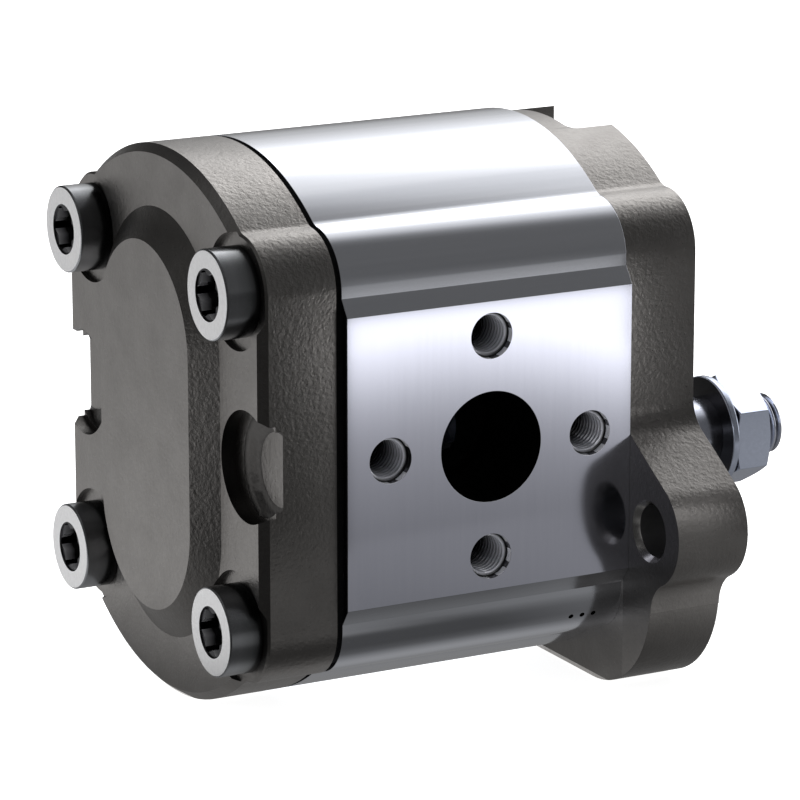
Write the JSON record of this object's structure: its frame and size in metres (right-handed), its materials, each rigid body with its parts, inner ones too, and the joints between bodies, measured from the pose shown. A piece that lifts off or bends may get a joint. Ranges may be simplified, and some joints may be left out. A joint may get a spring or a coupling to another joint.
{
  "type": "hydraulic pump",
  "caption": "External gear pump with a lobed aluminium body, cast covers, a flanged front cover and a tapered shaft end.",
  "frame": {"origin": "centre of the pilot on the mounting face, on the drive shaft's axis", "axes": "+X out along the drive shaft, +Z towards the driven gear, -Y towards the suction port"},
  "size_m": [0.1339, 0.1184, 0.1004],
  "materials": {
    "body_aluminium": "extruded and brushed",
    "cast_cover": "fine sand cast",
    "screw_steel": "blackened, ground end faces",
    "ground_steel": "ground",
    "block_aluminium": "machined",
    "bush_bronze": "rolled",
    "seal_rubber": "matte",
    "backup_plastic": "matte",
    "zinc_steel": "zinc plated"
  },
  "bodies": {
    "housing": {"pump_body": "body_aluminium", "front_cover": "cast_cover", "rear_cover": "cast_cover", "cover_screws": "screw_steel", "front_dowels": "ground_steel", "rear_dowels": "ground_steel", "front_bearing_block": "block_aluminium", "rear_bearing_block": "block_aluminium", "front_drive_bush": "bush_bronze", "rear_drive_bush": "bush_bronze", "front_driven_bush": "bush_bronze", "rear_driven_bush": "bush_bronze", "front_joint_seal": "seal_rubber", "rear_joint_seal": "seal_rubber", "front_block_seal": "seal_rubber", "rear_block_seal": "seal_rubber", "front_backup_ring": "backup_plastic", "rear_backup_ring": "backup_plastic", "shaft_seal_case": "seal_rubber", "shaft_seal_lip": "seal_rubber", "shaft_seal_spring": "ground_steel", "seal_keeper_ring": "screw_steel"},
    "drive_shaft": {"drive_gear": "ground_steel", "woodruff_key": "ground_steel", "shaft_washer": "zinc_steel", "shaft_nut": "zinc_steel"},
    "driven_shaft": {"driven_gear": "ground_steel"}
  },
  "joints": [
    {"name": "drive_spin", "type": "hinge", "parent": "housing", "child": "drive_shaft", "pos_m": [0, 0, 0], "axis": [1, 0, 0], "continuous": true},
    {"name": "driven_spin", "type": "hinge", "parent": "housing", "child": "driven_shaft", "pos_m": [-0.0428, 0, 0.032], "axis": [1, 0, 0], "continuous": true}
  ],
  "couplings": [
    {"joint": "driven_spin", "follows": "drive_spin", "ratio": -1}
  ]
}
